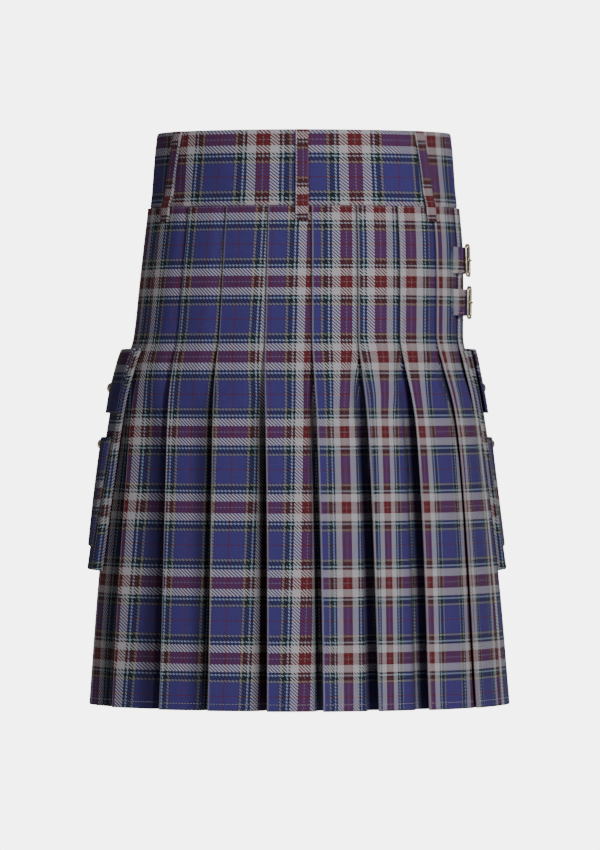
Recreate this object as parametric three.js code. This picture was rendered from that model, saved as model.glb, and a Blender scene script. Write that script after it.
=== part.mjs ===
// A tartan utility kilt, worn form with nobody in it, in millimetres, +Z up.
// The pleated back faces -Y and the aprons face +Y. The wearer's right hip is at +X.
// The origin is in the middle of the waist, halfway down the deep waistband.
import * as THREE from "three";

const TOP = 40; // top edge of the waistband
const BAND_FOOT = -40; // seam between waistband and pleats
const RELEASE = -180; // the pleats are stitched down to here and hang free below
const HEM = -570;
const SEAM_GAP = 0.3; // air between two pieces that are sewn together

const CLOTH = 1.2; // thickness of one ply of the twill
const BAND = 2.0; // the waistband is two plies
const PLY_STEP = 1.6; // from the middle of one ply to the middle of the next in a pleat
const HIDDEN_DEPTH_TOP = 25; // how far a pleat runs on under the next one
const HIDDEN_DEPTH_HEM = 21;

// Inside of the garment at each height: half widths to the left and right, depths to back and front.
const SECTIONS = [
  { z: 40, left: 153.3, right: 157.6, back: 115, front: 112 },
  { z: -40, left: 160.8, right: 164.6, back: 119, front: 116 },
  { z: -85, left: 166.0, right: 168.2, back: 124, front: 119 },
  { z: -125, left: 170.4, right: 168.9, back: 129, front: 122 },
  { z: -175, left: 175.8, right: 168.6, back: 133, front: 127 },
  { z: -205, left: 182.0, right: 172.0, back: 137, front: 131 },
  { z: -245, left: 188.8, right: 178.4, back: 141, front: 136 },
  { z: -300, left: 193.8, right: 184.6, back: 144, front: 141 },
  { z: -450, left: 207.7, right: 200.2, back: 150, front: 152 },
  { z: -570, left: 216.2, right: 210.0, back: 154, front: 160 },
];

// Every fold edge: its angle where it is stitched and at the hem, 0 at the middle of the back and
// positive towards the wearer's right, how many degrees it swings out below the stitching, and how
// many millimetres further out it stands than its neighbours.
const FOLDS = [
  { stitched: -100, hem: -100, swing: 0, lift: 0 },
  { stitched: -82.5, hem: -81, swing: 0, lift: 0 },
  { stitched: -65.5, hem: -61, swing: 0, lift: 0.8 },
  { stitched: -46.5, hem: -40.9, swing: 0, lift: 0 },
  { stitched: -28.9, hem: -25.6, swing: 0, lift: -0.8 },
  { stitched: -12.3, hem: -9.1, swing: 0.4, lift: 0.4 },
  { stitched: 3.6, hem: 5.8, swing: 0.4, lift: 0.8 },
  { stitched: 20.2, hem: 21.3, swing: 0.6, lift: 0 },
  { stitched: 37.2, hem: 36.8, swing: 1.5, lift: 1.6 },
  { stitched: 56.4, hem: 56, swing: 2.6, lift: 0.8 },
  { stitched: 76.5, hem: 74.5, swing: 0.8, lift: 0 },
  { stitched: 94, hem: 94, swing: 0, lift: 0 },
  { stitched: 112, hem: 112, swing: 0, lift: 0 }, // where the last pleat has come down to the under apron
];

// How far out the middle of the ply stands at the fold edges, at each height.
const INNER_PLY = CLOTH / 2;
const FOLD_LIFT = [
  { z: -40, out: INNER_PLY + 2 * PLY_STEP },
  { z: -180, out: INNER_PLY + 2 * PLY_STEP },
  { z: -205, out: 6.6 },
  { z: -245, out: 9.6 },
  { z: -300, out: 11.6 },
  { z: -450, out: 12.6 },
  { z: -570, out: 13.0 },
];

const SPREAD_EARLY = 1.6; // the folds spread faster just below the stitching than near the hem
const SWING_PEAK = 0.24; // share of the free length at which a fold has swung out furthest

const PLEAT_LEVELS = [BAND_FOOT - SEAM_GAP, -110, -178, -194, -212, -245, -295, -360, -430, -500, HEM];
const OVER_EDGE = -239; // free edge of the over apron, on the wearer's right
const UNDER_EDGE = 215; // free edge of the under apron, inside on the wearer's left
const BAND_JOIN = 100; // where the waistband of the back meets that of each apron
const BAND_LEVELS = [TOP, 22, 0, -22, BAND_FOOT];

const LOOP_WIDTH = 13;
const LOOP_CLOTH = 1.6;
const LOOP_FOOT = -56;
const LOOP_FOOT_LIFT = 0.5; // the foot of a loop lies over the edges of the pleats
const LOOPS = [
  { name: "back", top: 0, foot: 0 },
  { name: "back_left", top: -57.5, foot: -60.5 },
  { name: "back_right", top: 50.5, foot: 53.5 },
  { name: "front_left", top: -128, foot: -128 },
  { name: "front_right", top: 134, foot: 134 },
];

const FASTENINGS = [
  { name: "upper", z: -96, stand: 8.4 },
  { name: "lower", z: -141, stand: 9.6 },
];
const STRAP_HEIGHT = 28;
const STRAP_CLOTH = 1.4;
const TAB_OUT = 5.4; // middle of the tab's sewn end, clear of the stitched pleats
const TAB_END = 66;
const BAR_AT = 76.8;
const BUCKLE_AT = 81.5; // middle of the frame
const STRAP_END = 140;
const BUCKLE_HEIGHT = 36;
const BUCKLE_LENGTH = 24;
const BUCKLE_RIM = 3.4;
const BUCKLE_THICK = 2.6;
const PRONG_WIDTH = 2.4;

const POCKET_TOP = -190.5;
const POCKET_FOOT = -427.5;
const FLAP_FOOT = -259;
const PATCH_TOP = -285;
const PATCH_FOOT = -402;
const PATCH_INSET = 3.5; // degrees from each side of the bag
const POCKET_CLOTH = 1.2;
const FLAP_CLOTH = 1.8;
const FLAP_AIR = 2.4; // between the bag and the flap that hangs over it
const FLAP_SEAM_LIFT = 0.8; // the flap's seam lies on the fold edges, just above the hollows between
const SIDE_DRAFT = 1.5; // the gusset leans this much from the face to its foot
// Thickness of each bag with its gusset at four heights, and how far the patch pocket stands off it.
const POCKETS = [
  {
    name: "left", side: -1, top: 5.4, flap: 4.8, patch: 6.4, foot: 11.3, patchTop: 5.2, patchFoot: 2.6,
    rearTop: 68, rearFoot: 76, frontTop: 116, frontFoot: 120, studShift: 0,
  },
  {
    name: "right", side: 1, top: 7.2, flap: 3.8, patch: 4.2, foot: 8.2, patchTop: 4.6, patchFoot: 1.8,
    rearTop: 80, rearFoot: 83, frontTop: 124, frontFoot: 124, studShift: -6,
  },
];
const STUD_RADIUS = 5.5;
const STUD_HEIGHT = 3.2;
const FLAP_STUD_Z = -232;
const PATCH_STUD_Z = -292.5;

const CLOTH_BLUE = 0x3d3a66;
const CLOTH_PURPLE = 0x4f3048;
const CLOTH_GREY = 0x77738a;
const BRASS = 0xc9a25c;

function cloth(colour) {
  return new THREE.MeshStandardMaterial({ color: colour, roughness: 0.9, metalness: 0 });
}

function brass() {
  return new THREE.MeshStandardMaterial({ color: BRASS, roughness: 0.25, metalness: 1 });
}

function mix(a, b, share) {
  return a + (b - a) * share;
}

function smooth(share) {
  const t = Math.min(1, Math.max(0, share));
  return t * t * (3 - 2 * t);
}

// Value of one column of a table at height z, along a smooth curve that never overshoots.
function column(table, key, z) {
  const n = table.length;
  if (z >= table[0].z) return table[0][key];
  if (z <= table[n - 1].z) return table[n - 1][key];
  let i = 0;
  while (z < table[i + 1].z) i += 1;
  const slope = (k) => (table[k + 1][key] - table[k][key]) / (table[k + 1].z - table[k].z);
  const knot = (k) => {
    if (k === 0) return slope(0);
    if (k === n - 1) return slope(n - 2);
    const before = slope(k - 1);
    const after = slope(k);
    return before * after <= 0 ? 0 : (2 * before * after) / (before + after);
  };
  const height = table[i + 1].z - table[i].z;
  const t = (z - table[i].z) / height;
  const start = table[i][key] * (1 + 2 * t) * (1 - t) ** 2 + knot(i) * height * t * (1 - t) ** 2;
  return start + table[i + 1][key] * t * t * (3 - 2 * t) + knot(i + 1) * height * t * t * (t - 1);
}

// A point on the garment: an angle round the body, a height and a distance out from its inside.
function place(angle, z, out) {
  const turn = (angle * Math.PI) / 180;
  const halfWidth = column(SECTIONS, Math.sin(turn) < 0 ? "left" : "right", z) + out;
  const halfDepth = column(SECTIONS, Math.cos(turn) > 0 ? "back" : "front", z) + out;
  return new THREE.Vector3(halfWidth * Math.sin(turn), -halfDepth * Math.cos(turn), z);
}

// Millimetres of cloth for one degree round the body.
function millimetresPerDegree(angle, z) {
  return place(angle - 0.5, z, 0).distanceTo(place(angle + 0.5, z, 0));
}

// The way straight out of the cloth at a point.
function outward(angle, z, outAt) {
  const point = (a, h) => place(a, h, outAt(a, h));
  const along = point(angle + 0.5, z).sub(point(angle - 0.5, z));
  const up = point(angle, z + 1).sub(point(angle, z - 1));
  return along.cross(up).normalize();
}

// A closed wall from two grids of points that face each other, the face side and the back side.
function wall(face, back) {
  const rows = face.length;
  const columns = face[0].length;
  const positions = [];
  for (const grid of [face, back]) {
    for (const row of grid) {
      for (const point of row) positions.push(point.x, point.y, point.z);
    }
  }
  const faceAt = (i, j) => i * columns + j;
  const backAt = (i, j) => rows * columns + i * columns + j;
  const index = [];
  const quad = (a, b, c, d) => index.push(a, b, c, a, c, d);
  for (let i = 0; i + 1 < rows; i += 1) {
    for (let j = 0; j + 1 < columns; j += 1) {
      quad(faceAt(i, j), faceAt(i + 1, j), faceAt(i + 1, j + 1), faceAt(i, j + 1));
      quad(backAt(i, j), backAt(i, j + 1), backAt(i + 1, j + 1), backAt(i + 1, j));
    }
    quad(faceAt(i, 0), backAt(i, 0), backAt(i + 1, 0), faceAt(i + 1, 0));
    const last = columns - 1;
    quad(faceAt(i, last), faceAt(i + 1, last), backAt(i + 1, last), backAt(i, last));
  }
  for (let j = 0; j + 1 < columns; j += 1) {
    quad(faceAt(0, j), faceAt(0, j + 1), backAt(0, j + 1), backAt(0, j));
    const last = rows - 1;
    quad(faceAt(last, j), backAt(last, j), backAt(last, j + 1), faceAt(last, j + 1));
  }
  const geometry = new THREE.BufferGeometry();
  geometry.setAttribute("position", new THREE.Float32BufferAttribute(positions, 3));
  geometry.setIndex(index);
  geometry.computeVertexNormals();
  return geometry;
}

// Face and back of one ply whose middle runs along a line at one height.
function plyAt(line, thickness) {
  const face = [];
  const back = [];
  line.forEach((point, k) => {
    const before = line[Math.max(0, k - 1)];
    const after = line[Math.min(line.length - 1, k + 1)];
    const first = new THREE.Vector2(point.x - before.x, point.y - before.y);
    const second = new THREE.Vector2(after.x - point.x, after.y - point.y);
    if (k === 0) first.copy(second);
    if (k === line.length - 1) second.copy(first);
    const way = first.normalize().add(second.normalize()).normalize();
    const half = thickness / 2;
    face.push(new THREE.Vector3(point.x + way.y * half, point.y - way.x * half, point.z));
    back.push(new THREE.Vector3(point.x - way.y * half, point.y + way.x * half, point.z));
  });
  return { face, back };
}

// A wall through lines of angle and distance out, one line for each height.
function clothWall(levels, lineAt, thickness) {
  const plies = levels.map((z) => {
    const line = lineAt(z).map(({ angle, out }) => place(angle, z, out));
    return plyAt(line, thickness);
  });
  return wall(plies.map((ply) => ply.face), plies.map((ply) => ply.back));
}

function spread(from, to, steps) {
  return Array.from({ length: steps + 1 }, (_, k) => mix(from, to, k / steps));
}

// How far the pleats have opened at a height: 0 where they are stitched, 1 near the hem.
function opened(z) {
  return smooth((RELEASE - z) / 130);
}

function foldAngle(fold, z) {
  const share = Math.max(0, (RELEASE - z) / (RELEASE - HEM));
  const back = smooth((share - SWING_PEAK) / (1 - SWING_PEAK));
  const swing = fold.swing * smooth(share / SWING_PEAK) * (1 - back);
  return mix(fold.stitched, fold.hem, 1 - (1 - share) ** SPREAD_EARLY) + swing;
}

function hiddenDepth(z) {
  return mix(HIDDEN_DEPTH_TOP, HIDDEN_DEPTH_HEM, smooth((RELEASE - z) / 200));
}

function foldLift(z, fold) {
  const extra = fold ? fold.lift * opened(z) : 0;
  return column(FOLD_LIFT, "out", z) + extra;
}

// The panel of one pleat comes down from its fold edge to lie under the next one.
function panelOut(share, flatShare, z, lift) {
  const lowest = 0.96;
  const flat = mix(flatShare, 0.08, opened(z));
  return mix(lift, INNER_PLY, smooth((share - flat) / (lowest - flat)));
}

// Line of one pleat at one height, from its fold edge to the fold hidden under the next pleat.
function pleatLine(index, z) {
  const start = foldAngle(FOLDS[index], z);
  const next = foldAngle(FOLDS[index + 1], z);
  const degree = 1 / millimetresPerDegree(start, z);
  const flatShare = ((hiddenDepth(z) + 4) * degree) / (next - start);
  const lift = foldLift(z, FOLDS[index]);
  const line = [
    { angle: start, out: lift - PLY_STEP / 2 },
    { angle: start + 0.9 * degree, out: lift },
  ];
  for (const share of [0.14, 0.32, 0.5, 0.64, 0.75, 0.86, 0.97]) {
    line.push({ angle: mix(start, next, share), out: panelOut(share, flatShare, z, lift) });
  }
  return line;
}

// The hidden end of a panel under the pleat that starts at the given fold, up to its join.
function hiddenPart(index, z, share) {
  const fold = foldAngle(FOLDS[index], z);
  const degree = 1 / millimetresPerDegree(fold, z);
  return { angle: fold + share * hiddenDepth(z) * degree, out: INNER_PLY };
}

// The fold hidden under a pleat and the ply that comes back from it to the pleat's own fold edge.
function returnLine(index, z) {
  const fold = foldAngle(FOLDS[index], z);
  const degree = 1 / millimetresPerDegree(fold, z);
  const turn = fold + hiddenDepth(z) * degree;
  const lift = foldLift(z, FOLDS[index]);
  return [
    { angle: turn - 0.9 * degree, out: INNER_PLY },
    { angle: turn, out: INNER_PLY + PLY_STEP / 2 },
    { angle: turn - 0.9 * degree, out: INNER_PLY + PLY_STEP },
    { angle: mix(fold, turn, 0.5), out: mix(lift, INNER_PLY + 2 * PLY_STEP, 0.5) - PLY_STEP },
    { angle: fold + 0.9 * degree, out: lift - PLY_STEP },
  ];
}

const JOIN_SHARE = 0.5; // lengths of cloth are joined halfway along a hidden ply

// Pleats from one fold to another in one length of cloth, joined at hidden plies.
function pleats(first, last) {
  return clothWall(PLEAT_LEVELS, (z) => {
    const gap = SEAM_GAP / hiddenDepth(z);
    const line = [hiddenPart(first, z, JOIN_SHARE + gap)];
    for (let index = first; index <= last; index += 1) {
      line.push(...returnLine(index, z), ...pleatLine(index, z));
      if (index < last) line.push(hiddenPart(index + 1, z, JOIN_SHARE));
    }
    if (last < FOLDS.length - 2) line.push(hiddenPart(last + 1, z, JOIN_SHARE));
    return line;
  }, CLOTH);
}

// The over apron comes round the front from the wearer's right and goes in under the first pleat.
function overApronOut(angle) {
  return INNER_PLY + 1.2 * smooth((-angle - 108) / 30);
}

function overApron() {
  return clothWall(PLEAT_LEVELS, (z) => {
    const line = spread(OVER_EDGE, -104, 18).map((angle) => ({ angle, out: overApronOut(angle) }));
    line.push(hiddenPart(0, z, JOIN_SHARE));
    return line;
  }, CLOTH);
}

// The under apron goes on from the last pleat, inside the over apron.
function underApronOut(angle) {
  return INNER_PLY - 2.6 * smooth((angle - 112) / 30);
}

function underApron() {
  const lastPleat = FOLDS.length - 2;
  return clothWall(PLEAT_LEVELS, (z) => {
    const end = pleatLine(lastPleat, z).at(-1).angle;
    const start = end + SEAM_GAP / millimetresPerDegree(end, z);
    return spread(start, UNDER_EDGE, 14).map((angle) => ({ angle, out: underApronOut(angle) }));
  }, CLOTH);
}

function waistband(from, to, outAt, steps) {
  const line = spread(from, to, steps).map((angle) => ({ angle, out: outAt(angle) }));
  return clothWall(BAND_LEVELS, () => line, BAND);
}

function bandOut() {
  return BAND / 2;
}

function overBandOut(angle) {
  return BAND / 2 + smooth((-angle - 105) / 30);
}

function underBandOut(angle) {
  return BAND / 2 - 2.8 * smooth((angle - BAND_JOIN) / 35);
}

// A strip lying on the cloth: across it in degrees, along it in heights, at a distance out.
function strip(levels, edgesAt, outAt, thickness, steps) {
  const half = thickness / 2;
  const side = (shift) => levels.map((z) => {
    const { from, to } = edgesAt(z);
    return spread(from, to, steps).map((angle) => place(angle, z, outAt(angle, z) + shift));
  });
  return wall(side(half), side(-half));
}

// A belt loop stands a little off the band and is sewn flat at its two ends.
function beltLoop({ top, foot }) {
  const levels = [TOP, 34, 18, -2, -22, -38, -47, LOOP_FOOT];
  const onBand = (angle) => (Math.abs(angle) > BAND_JOIN ? overBandOut(-Math.abs(angle)) : bandOut());
  const outAt = (angle, z) => {
    const onTheBand = onBand(angle) + BAND / 2;
    const onThePleats = Math.abs(angle) > BAND_JOIN ? onTheBand : foldLift(z) + CLOTH / 2 + LOOP_FOOT_LIFT;
    const under = mix(onTheBand, onThePleats, smooth((-24 - z) / 16));
    const slack = 1.8 * Math.sin(Math.PI * Math.min(1, Math.max(0, (TOP - z) / 90)));
    return under + slack + SEAM_GAP + LOOP_CLOTH / 2;
  };
  const edgesAt = (z) => {
    const middle = mix(top, foot, (TOP - z) / (TOP - LOOP_FOOT));
    const reach = LOOP_WIDTH / 2 / millimetresPerDegree(middle, z);
    return { from: middle - reach, to: middle + reach };
  };
  return strip(levels, edgesAt, outAt, LOOP_CLOTH, 2);
}

// A short strip of cloth with two rounded corners, running round the hip.
function hipStrip(z, from, to, roundAtStart, outAt) {
  const corner = 5;
  const steps = Math.round(Math.abs(to - from) / 4) + 2;
  const columns = spread(from, to, steps);
  const end = roundAtStart ? from : to;
  if (roundAtStart) columns.splice(1, 0, from + 0.6, from + 1.4);
  const halfHeight = (angle) => {
    const inset = Math.abs(angle - end) * millimetresPerDegree(angle, z);
    if (!roundAtStart || inset > corner) return STRAP_HEIGHT / 2;
    return STRAP_HEIGHT / 2 - corner + Math.sqrt(corner ** 2 - (corner - inset) ** 2);
  };
  const side = (shift) => [1, 0, -1].map((row) => columns.map((angle) => {
    const height = z + row * halfHeight(angle);
    return place(angle, height, outAt(angle) + shift);
  }));
  return wall(side(STRAP_CLOTH / 2), side(-STRAP_CLOTH / 2));
}

// The tab rises from the pleats it is sewn on to the height at which the strap runs.
function tabOut(angle, stand) {
  return mix(TAB_OUT, stand, smooth((angle - TAB_END - 1) / 8));
}

function buckleTab(z, stand) {
  const end = BAR_AT - (BUCKLE_RIM / 2 + SEAM_GAP) / millimetresPerDegree(BAR_AT, z);
  return hipStrip(z, TAB_END, end, true, (angle) => tabOut(angle, stand));
}

// The strap lies over the pleats at the hip and comes down onto the over apron, where it is sewn.
function hipStrap(z, stand) {
  const start = BAR_AT + (BUCKLE_RIM / 2 + SEAM_GAP) / millimetresPerDegree(BAR_AT, z);
  const onApron = overApronOut(-180) + CLOTH / 2 + SEAM_GAP + STRAP_CLOTH / 2;
  const outAt = (angle) => mix(stand, onApron, smooth((angle - 92) / 34));
  return hipStrip(z, start, STRAP_END, false, outAt);
}

function roundedBox(width, height, radius) {
  const shape = new THREE.Shape();
  const x = width / 2 - radius;
  const y = height / 2 - radius;
  shape.absarc(x, y, radius, 0, Math.PI / 2);
  shape.absarc(-x, y, radius, Math.PI / 2, Math.PI);
  shape.absarc(-x, -y, radius, Math.PI, Math.PI * 1.5);
  shape.absarc(x, -y, radius, Math.PI * 1.5, Math.PI * 2);
  return shape;
}

// Stands a piece on the cloth with its own Z straight out and its own Y up.
function standOn(mesh, angle, z, out) {
  const way = outward(angle, z, () => out);
  const up = new THREE.Vector3(0, 0, 1).addScaledVector(way, -way.z).normalize();
  const along = up.clone().cross(way);
  mesh.setRotationFromMatrix(new THREE.Matrix4().makeBasis(along, up, way));
  mesh.position.copy(place(angle, z, out));
}

// Rounded frame whose rear side is the bar that the tab ends at. The strap runs in under its front.
function buckleFrame() {
  const frame = roundedBox(BUCKLE_LENGTH, BUCKLE_HEIGHT, 5);
  const hole = roundedBox(BUCKLE_LENGTH - 2 * BUCKLE_RIM, BUCKLE_HEIGHT - 2 * BUCKLE_RIM, 2);
  frame.holes.push(new THREE.Path(hole.getPoints(3)));
  return new THREE.ExtrudeGeometry(frame, { depth: BUCKLE_THICK, bevelEnabled: false, curveSegments: 4 });
}

function prong() {
  const length = BUCKLE_LENGTH + 0.6;
  const shape = roundedBox(length, PRONG_WIDTH, 1);
  return new THREE.ExtrudeGeometry(shape, { depth: 1.8, bevelEnabled: false, curveSegments: 2 });
}

function stud() {
  const profile = [
    new THREE.Vector2(0, 0),
    new THREE.Vector2(STUD_RADIUS, 0),
    new THREE.Vector2(STUD_RADIUS, 0.9),
    new THREE.Vector2(STUD_RADIUS * 0.72, STUD_HEIGHT * 0.75),
    new THREE.Vector2(STUD_RADIUS * 0.35, STUD_HEIGHT),
    new THREE.Vector2(0, STUD_HEIGHT),
  ];
  const geometry = new THREE.LatheGeometry(profile, 16);
  geometry.rotateX(Math.PI / 2);
  return geometry;
}

// Outside of the skirt under a pocket, with the pleats at their fullest.
function skirtOut(z) {
  return foldLift(z) + CLOTH / 2 + SEAM_GAP;
}

// Outside of a pocket's bag at a height.
function bagOut(pocket, z) {
  const thick = column([
    { z: POCKET_TOP, thick: pocket.top },
    { z: FLAP_FOOT, thick: pocket.flap },
    { z: -300, thick: pocket.patch },
    { z: POCKET_FOOT, thick: pocket.foot },
  ], "thick", z);
  return skirtOut(z) + thick;
}

function pocketEdges(pocket, z) {
  const share = (POCKET_TOP - z) / (POCKET_TOP - POCKET_FOOT);
  return {
    rear: mix(pocket.rearTop, pocket.rearFoot, share),
    front: mix(pocket.frontTop, pocket.frontFoot, share),
  };
}

// A shallow tray of cloth, open at its top: a face, and a gusset on three sides down to its foot.
function tray(pocket, levels, edgesAt, faceOut, footOut) {
  const footZ = levels.at(-1);
  const draft = (z, side) => {
    const middle = edgesAt(z);
    return SIDE_DRAFT / millimetresPerDegree(side * (middle.rear + middle.front) / 2, z);
  };
  const ring = (inset, drop) => {
    const rowsAt = (z, height, faceAt, footAt) => {
      const { rear, front } = edgesAt(z);
      const step = draft(z, pocket.side);
      const shift = (inset / SIDE_DRAFT) * step;
      const from = rear + shift;
      const to = front - shift;
      const columns = spread(from, to, 9);
      const points = columns.map((angle) => ({ angle, out: faceAt }));
      points.unshift({ angle: from - step, out: footAt });
      points.push({ angle: to + step, out: footAt });
      if (pocket.side < 0) points.reverse();
      return points.map(({ angle, out }) => place(pocket.side * angle, height, out));
    };
    const rows = levels.map((z, k) => {
      const height = k === levels.length - 1 ? z + inset : z;
      return rowsAt(height, height, faceOut(height) - drop, footOut(height));
    });
    const height = footZ + inset - SIDE_DRAFT;
    rows.push(rowsAt(footZ + inset, height, footOut(height), footOut(height)));
    return rows;
  };
  return wall(ring(0, 0), ring(POCKET_CLOTH, POCKET_CLOTH));
}

function pocketBag(pocket) {
  const top = POCKET_TOP - FLAP_CLOTH - SEAM_GAP;
  const levels = [top, -215, -237, FLAP_FOOT, -300, -350, POCKET_FOOT + SIDE_DRAFT];
  return tray(pocket, levels, (z) => pocketEdges(pocket, z), (z) => bagOut(pocket, z), skirtOut);
}

// Outside of the patch pocket, which stands off the bag at its mouth and less at its foot.
function patchOut(pocket, z) {
  const share = (PATCH_TOP - z) / (PATCH_TOP - PATCH_FOOT);
  return bagOut(pocket, z) + mix(pocket.patchTop, pocket.patchFoot, share);
}

function patchPocket(pocket) {
  const levels = [PATCH_TOP, -305, -338, -371, PATCH_FOOT];
  const edgesAt = (z) => {
    const { rear, front } = pocketEdges(pocket, z);
    return { rear: rear + PATCH_INSET, front: front - PATCH_INSET };
  };
  const face = (z) => patchOut(pocket, z);
  return tray(pocket, levels, edgesAt, face, (z) => bagOut(pocket, z) + SEAM_GAP);
}

// The flap is sewn to the skirt above the bag, turns over its top and hangs down in front of it.
function flapOut(pocket, z) {
  return bagOut(pocket, z) + FLAP_AIR + FLAP_CLOTH;
}

function pocketFlap(pocket) {
  const levels = [POCKET_TOP, -212, -234, FLAP_FOOT];
  const row = (height, out) => {
    const { rear, front } = pocketEdges(pocket, height);
    const columns = spread(rear - 0.6, front + 0.6, 8);
    if (pocket.side < 0) columns.reverse();
    return columns.map((angle) => place(pocket.side * angle, height, out));
  };
  const face = levels.map((z) => row(z, flapOut(pocket, z)));
  face.unshift(row(POCKET_TOP + 0.4, skirtOut(POCKET_TOP) + FLAP_SEAM_LIFT));
  const back = levels.map((z, k) => {
    const height = k === 0 ? z - FLAP_CLOTH : z;
    return row(height, flapOut(pocket, height) - FLAP_CLOTH);
  });
  const underSeam = POCKET_TOP - FLAP_CLOTH;
  back.unshift(row(underSeam + 0.4, skirtOut(underSeam) + FLAP_SEAM_LIFT));
  return wall(face, back);
}

function add(group, name, geometry, material) {
  const mesh = new THREE.Mesh(geometry, material);
  mesh.name = name;
  group.add(mesh);
  return mesh;
}

function addPocket(group, pocket) {
  const name = `pocket_${pocket.name}`;
  add(group, `${name}_bag`, pocketBag(pocket), cloth(CLOTH_GREY));
  add(group, `${name}_flap`, pocketFlap(pocket), cloth(CLOTH_PURPLE));
  add(group, `${name}_patch`, patchPocket(pocket), cloth(CLOTH_BLUE));
  const studs = [
    { piece: "flap", z: FLAP_STUD_Z, out: flapOut(pocket, FLAP_STUD_Z) },
    { piece: "patch", z: PATCH_STUD_Z, out: patchOut(pocket, PATCH_STUD_Z) },
  ];
  for (const { piece, z, out } of studs) {
    const { rear, front } = pocketEdges(pocket, z);
    const cap = add(group, `${name}_${piece}_stud`, stud(), brass());
    const angle = (rear + front) / 2 + pocket.studShift;
    standOn(cap, pocket.side * angle, z, out + SEAM_GAP + 0.4);
  }
}

function addFastening(group, { name, z, stand }) {
  add(group, `buckle_tab_${name}`, buckleTab(z, stand), cloth(CLOTH_GREY));
  add(group, `hip_strap_${name}`, hipStrap(z, stand), cloth(CLOTH_GREY));
  const over = stand + STRAP_CLOTH / 2 + SEAM_GAP;
  const frame = add(group, `buckle_frame_${name}`, buckleFrame(), brass());
  standOn(frame, BUCKLE_AT, z, over);
  const pin = add(group, `buckle_prong_${name}`, prong(), brass());
  standOn(pin, BUCKLE_AT, z, over + BUCKLE_THICK + SEAM_GAP);
}

function kilt() {
  const group = new THREE.Group();
  add(group, "waistband_back", waistband(-BAND_JOIN, BAND_JOIN, bandOut, 40), cloth(CLOTH_BLUE));
  const overBand = waistband(OVER_EDGE, -BAND_JOIN - 0.15, overBandOut, 28);
  add(group, "waistband_over_apron", overBand, cloth(CLOTH_BLUE));
  const underBand = waistband(BAND_JOIN + 0.15, UNDER_EDGE, underBandOut, 24);
  add(group, "waistband_under_apron", underBand, cloth(CLOTH_BLUE));
  add(group, "over_apron", overApron(), cloth(CLOTH_PURPLE));
  add(group, "under_apron", underApron(), cloth(CLOTH_BLUE));
  add(group, "pleats_left", pleats(0, 3), cloth(CLOTH_BLUE));
  add(group, "pleats_back", pleats(4, 7), cloth(CLOTH_PURPLE));
  add(group, "pleats_right", pleats(8, 11), cloth(CLOTH_GREY));
  for (const loop of LOOPS) add(group, `belt_loop_${loop.name}`, beltLoop(loop), cloth(CLOTH_PURPLE));
  for (const fastening of FASTENINGS) addFastening(group, fastening);
  for (const pocket of POCKETS) addPocket(group, pocket);
  return group;
}

const group = kilt();
export default group;
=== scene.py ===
import math

import bpy
import numpy as np
from mathutils import Matrix, Vector


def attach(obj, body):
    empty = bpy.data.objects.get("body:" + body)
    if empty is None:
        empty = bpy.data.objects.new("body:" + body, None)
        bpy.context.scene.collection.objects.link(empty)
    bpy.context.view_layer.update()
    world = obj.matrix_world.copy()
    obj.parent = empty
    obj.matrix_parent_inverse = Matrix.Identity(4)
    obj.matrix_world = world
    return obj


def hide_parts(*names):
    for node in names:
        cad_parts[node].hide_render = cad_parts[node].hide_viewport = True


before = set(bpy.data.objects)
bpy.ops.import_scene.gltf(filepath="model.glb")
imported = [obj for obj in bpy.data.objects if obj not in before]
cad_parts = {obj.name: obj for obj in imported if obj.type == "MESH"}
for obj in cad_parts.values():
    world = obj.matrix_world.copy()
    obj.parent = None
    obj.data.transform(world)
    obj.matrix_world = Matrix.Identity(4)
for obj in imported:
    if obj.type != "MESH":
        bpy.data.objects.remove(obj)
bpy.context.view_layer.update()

# The studio: a camera level with the thighs, 5.9 m behind the wearer, as in the photo.
# Soft lights stand on the camera's side, and a pale sweep runs on under and behind the kilt.
CAMERA_DISTANCE = 5.9
CAMERA_HEIGHT = -0.2238
CAMERA_SIDE = -0.0021
SENSOR = 0.024
FOCAL = 0.1553
FLOOR = -1.05
FLOOR_RADIUS = 3.4
SOFT_DAYLIGHT = 0.10
WHITE_BACKDROP = 5.55

camera_data = bpy.data.cameras.new("camera")
camera_data.sensor_fit = "VERTICAL"
camera_data.sensor_height = SENSOR * 1000
camera_data.lens = FOCAL * 1000
camera_data.shift_y = -0.053
camera = bpy.data.objects.new("camera", camera_data)
camera.location = (CAMERA_SIDE, -CAMERA_DISTANCE, CAMERA_HEIGHT)
camera.rotation_euler = (math.pi / 2, 0, 0)
bpy.context.scene.collection.objects.link(camera)
bpy.context.scene.camera = camera

SOFT_LIGHTS = [
    {"name": "right", "place": (2.5, -4.9, 1.8), "size": 0.9, "watts": 250},
    {"name": "left", "place": (-1.7, -5.3, 1.3), "size": 1.2, "watts": 36},
    {"name": "far", "place": (0.4, 4.2, 2.4), "size": 2.6, "watts": 140},
]
for light in SOFT_LIGHTS:
    lamp = bpy.data.lights.new("light_" + light["name"], "AREA")
    lamp.size = light["size"]
    lamp.energy = light["watts"]
    lamp_object = bpy.data.objects.new("light_" + light["name"], lamp)
    lamp_object.location = light["place"]
    aim = Vector((0, 0, -0.25)) - Vector(light["place"])
    lamp_object.rotation_euler = aim.to_track_quat("-Z", "Y").to_euler()
    bpy.context.scene.collection.objects.link(lamp_object)

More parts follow.
